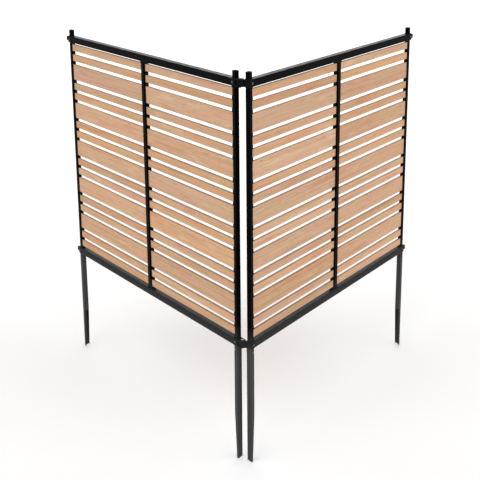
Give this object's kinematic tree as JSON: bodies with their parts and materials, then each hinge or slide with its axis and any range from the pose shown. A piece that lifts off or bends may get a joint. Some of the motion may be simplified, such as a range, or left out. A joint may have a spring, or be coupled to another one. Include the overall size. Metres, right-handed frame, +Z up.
{
  "type": "garden privacy screen",
  "caption": "Hinged two-panel outdoor privacy screen: black steel tube frames with horizontal cedar slats in an alternating pattern, corner hinge brackets and ground stakes.",
  "frame": {"origin": "centre of the footprint of both panels at the level of the stake tips, with the panels at 65 degrees", "axes": "+Z up along the posts; -Y points from the footprint centre to the hinged corner; +X runs from the left panel to the right panel"},
  "size_m": [1.381, 1.0902, 1.3565],
  "materials": {
    "black_powder_coat": "satin black powder coat on steel tube",
    "black_plastic": "matte moulded plastic",
    "dark_zinc": "dark zinc plating",
    "cedar_narrow": "planed cedar board, open grain, darker boards",
    "cedar_wide": "planed cedar board, open grain, lighter boards"
  },
  "bodies": {
    "left_panel": {"bottom_hinge_pin": "dark_zinc", "hinge_pin_clips": "dark_zinc", "left_bottom_rail": "black_powder_coat", "left_grub_screws": "dark_zinc", "left_inner_bay_narrow_slats": "cedar_narrow", "left_inner_bay_spacers": "black_plastic", "left_inner_bay_wide_slats": "cedar_wide", "left_inner_bottom_bracket": "black_plastic", "left_inner_cap": "black_plastic", "left_inner_post": "black_powder_coat", "left_inner_stake": "black_powder_coat", "left_inner_top_bracket": "black_plastic", "left_middle_upright": "black_powder_coat", "left_outer_bay_narrow_slats": "cedar_narrow", "left_outer_bay_spacers": "black_plastic", "left_outer_bay_wide_slats": "cedar_wide", "left_outer_bottom_bracket": "black_plastic", "left_outer_cap": "black_plastic", "left_outer_post": "black_powder_coat", "left_outer_stake": "black_powder_coat", "left_outer_top_bracket": "black_plastic", "left_post_screws": "dark_zinc", "left_stake_bolts": "dark_zinc", "left_stake_nuts": "dark_zinc", "left_tie_rod_nuts": "dark_zinc", "left_tie_rods": "dark_zinc", "left_top_rail": "black_powder_coat", "left_upright_feet": "black_plastic", "top_hinge_pin": "dark_zinc"},
    "right_panel": {"right_bottom_rail": "black_powder_coat", "right_grub_screws": "dark_zinc", "right_inner_bay_narrow_slats": "cedar_narrow", "right_inner_bay_spacers": "black_plastic", "right_inner_bay_wide_slats": "cedar_wide", "right_inner_bottom_bracket": "black_plastic", "right_inner_cap": "black_plastic", "right_inner_post": "black_powder_coat", "right_inner_stake": "black_powder_coat", "right_inner_top_bracket": "black_plastic", "right_middle_upright": "black_powder_coat", "right_outer_bay_narrow_slats": "cedar_narrow", "right_outer_bay_spacers": "black_plastic", "right_outer_bay_wide_slats": "cedar_wide", "right_outer_bottom_bracket": "black_plastic", "right_outer_cap": "black_plastic", "right_outer_post": "black_powder_coat", "right_outer_stake": "black_powder_coat", "right_outer_top_bracket": "black_plastic", "right_post_screws": "dark_zinc", "right_stake_bolts": "dark_zinc", "right_stake_nuts": "dark_zinc", "right_tie_rod_nuts": "dark_zinc", "right_tie_rods": "dark_zinc", "right_top_rail": "black_powder_coat", "right_upright_feet": "black_plastic"}
  },
  "joints": [
    {"name": "corner_hinge", "type": "hinge", "parent": "left_panel", "child": "right_panel", "pos_m": [-0.00682, -0.52245, 0.878], "axis": [0, 0, 1], "range_deg": [-115, 65]}
  ]
}
